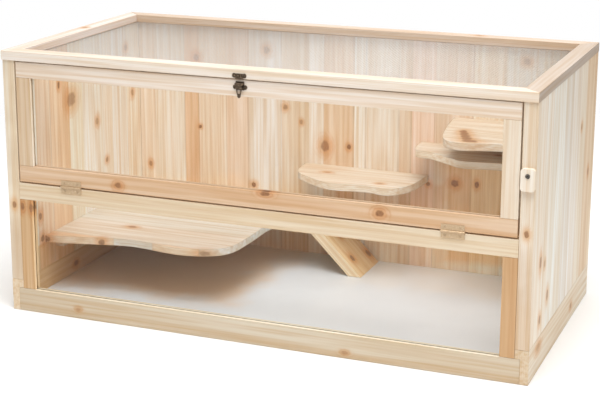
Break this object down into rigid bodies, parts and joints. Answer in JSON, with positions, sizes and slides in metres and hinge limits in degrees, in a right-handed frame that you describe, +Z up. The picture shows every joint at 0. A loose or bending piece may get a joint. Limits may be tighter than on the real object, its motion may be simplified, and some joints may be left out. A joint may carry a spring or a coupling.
{
  "type": "wooden hamster cage",
  "caption": "Long pine hamster cage with a hinged wire-mesh lid, a drop-down window door, a fixed lower window, a platform with a ramp, and wavy step shelves.",
  "frame": {"origin": "under the middle of the bounding box, on the surface that the cage stands on", "axes": "+X along the cage's length, to the right seen from the front; +Y from the front windows to the back panel; +Z up"},
  "size_m": [1.152, 0.5944, 0.577],
  "materials": {
    "pine": "satin",
    "pine_pale": "satin",
    "pine_warm": "satin",
    "white_board": "smooth",
    "acrylic": "clear",
    "wire_mesh": "galvanised",
    "zinc": "satin",
    "bronze": "antique",
    "dark_steel": "blackened"
  },
  "bodies": {
    "carcass": {"left_side_panel": "pine", "right_side_panel": "pine", "left_base_rail": "pine", "right_base_rail": "pine", "back_panel": "pine", "floor_panel": "white_board", "front_bottom_rail": "pine", "middle_rail": "pine_pale", "lower_left_stile": "pine_warm", "lower_right_stile": "pine_warm", "lower_window_pane": "acrylic", "platform": "pine_pale", "platform_back_batten": "pine", "platform_side_batten": "pine", "ramp": "pine_warm", "lower_step_shelf": "pine_pale", "middle_step_shelf": "pine_pale", "upper_step_shelf": "pine_pale", "middle_shelf_batten": "pine", "upper_shelf_batten": "pine", "turn_button_screw": "dark_steel", "door_hinge_left_lower_leaf": "zinc", "door_hinge_left_pin": "zinc", "door_hinge_left_lower_screw_1": "zinc", "door_hinge_left_lower_screw_2": "zinc", "door_hinge_right_lower_leaf": "zinc", "door_hinge_right_pin": "zinc", "door_hinge_right_lower_screw_1": "zinc", "door_hinge_right_lower_screw_2": "zinc", "lid_hinge_left_lower_leaf": "zinc", "lid_hinge_left_pin": "zinc", "lid_hinge_right_lower_leaf": "zinc", "lid_hinge_right_pin": "zinc"},
    "door": {"door_top_rail": "pine", "door_bottom_rail": "pine_warm", "door_left_stile": "pine", "door_right_stile": "pine", "door_window_pane": "acrylic", "door_hinge_left_upper_leaf": "zinc", "door_hinge_left_upper_screw_1": "zinc", "door_hinge_left_upper_screw_2": "zinc", "door_hinge_right_upper_leaf": "zinc", "door_hinge_right_upper_screw_1": "zinc", "door_hinge_right_upper_screw_2": "zinc", "hasp_plate": "bronze", "hasp_plate_screw_1": "bronze", "hasp_plate_screw_2": "bronze", "hasp_pin": "bronze"},
    "lid": {"lid_front_rail": "pine_pale", "lid_back_rail": "pine", "lid_left_rail": "pine", "lid_right_rail": "pine", "lid_mesh": "wire_mesh", "lid_hinge_left_upper_leaf": "zinc", "lid_hinge_right_upper_leaf": "zinc", "hasp_keeper": "bronze", "hasp_keeper_screw_1": "bronze", "hasp_keeper_screw_2": "bronze"},
    "hasp_strap": {"hasp_strap": "bronze"},
    "turn_button": {"turn_button": "pine_pale"}
  },
  "joints": [
    {"name": "door_hinge", "type": "hinge", "parent": "carcass", "child": "door", "pos_m": [0, -0.288, 0.29225], "axis": [1, 0, 0], "range_deg": [0, 175]},
    {"name": "lid_hinge", "type": "hinge", "parent": "carcass", "child": "lid", "pos_m": [0, 0.295, 0.55685], "axis": [-1, 0, 0], "range_deg": [0, 180]},
    {"name": "hasp_swing", "type": "hinge", "parent": "door", "child": "hasp_strap", "pos_m": [-0.025, -0.2925, 0.547], "axis": [-1, 0, 0], "range_deg": [0, 180]},
    {"name": "button_turn", "type": "hinge", "parent": "carcass", "child": "turn_button", "pos_m": [0.561, -0.29, 0.418], "axis": [0, 1, 0], "continuous": true}
  ]
}
